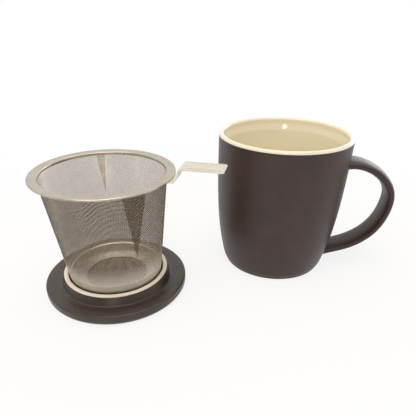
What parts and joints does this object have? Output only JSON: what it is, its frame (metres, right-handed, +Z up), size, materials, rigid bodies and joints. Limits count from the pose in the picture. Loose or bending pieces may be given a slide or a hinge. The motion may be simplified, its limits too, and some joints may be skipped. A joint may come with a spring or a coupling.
{
  "type": "lidded tea mug with infuser",
  "caption": "Round stoneware tea mug with a side handle, a loose disc lid with a raised ring that serves as a coaster, and a tapering steel mesh infuser with a flat strap handle.",
  "frame": {"origin": "on the table, in the middle of the footprint of the whole set as it is laid out; the mug's axis is 41.5 mm to +X and 23.8 mm to +Y of it", "axes": "+Z up along the mug's axis; +X to the right, on the side of the mug's handle; -X towards the lid and the infuser; +Y away from the viewer"},
  "size_m": [0.2442, 0.1376, 0.096],
  "materials": {
    "cream_glaze": "glossy cream glaze",
    "dark_matte_glaze": "matte dark brown-grey glaze",
    "bare_stoneware": "bare fired clay",
    "satin_steel": "satin stainless steel",
    "steel_mesh": "fine perforated stainless mesh"
  },
  "bodies": {
    "mug": {"mug_cup": "cream_glaze", "mug_outer_glaze": "dark_matte_glaze", "mug_handle": "dark_matte_glaze"},
    "lid": {"lid_disc": "dark_matte_glaze", "lid_bare_edge": "bare_stoneware"},
    "infuser": {"infuser_rim": "satin_steel", "infuser_wall_mesh": "steel_mesh", "infuser_front_lap": "steel_mesh", "infuser_back_lap": "steel_mesh", "infuser_base_cup": "satin_steel", "infuser_floor_mesh": "steel_mesh", "infuser_strap": "satin_steel", "infuser_spot_welds": "satin_steel"}
  },
  "joints": [
    {"name": "lid_lift", "type": "slide", "parent": "mug", "child": "lid", "axis": [0, 0, 1], "range_m": [0, 0.15]},
    {"name": "infuser_lift", "type": "slide", "parent": "lid", "child": "infuser", "axis": [0, 0, 1], "range_m": [0, 0.11]}
  ]
}
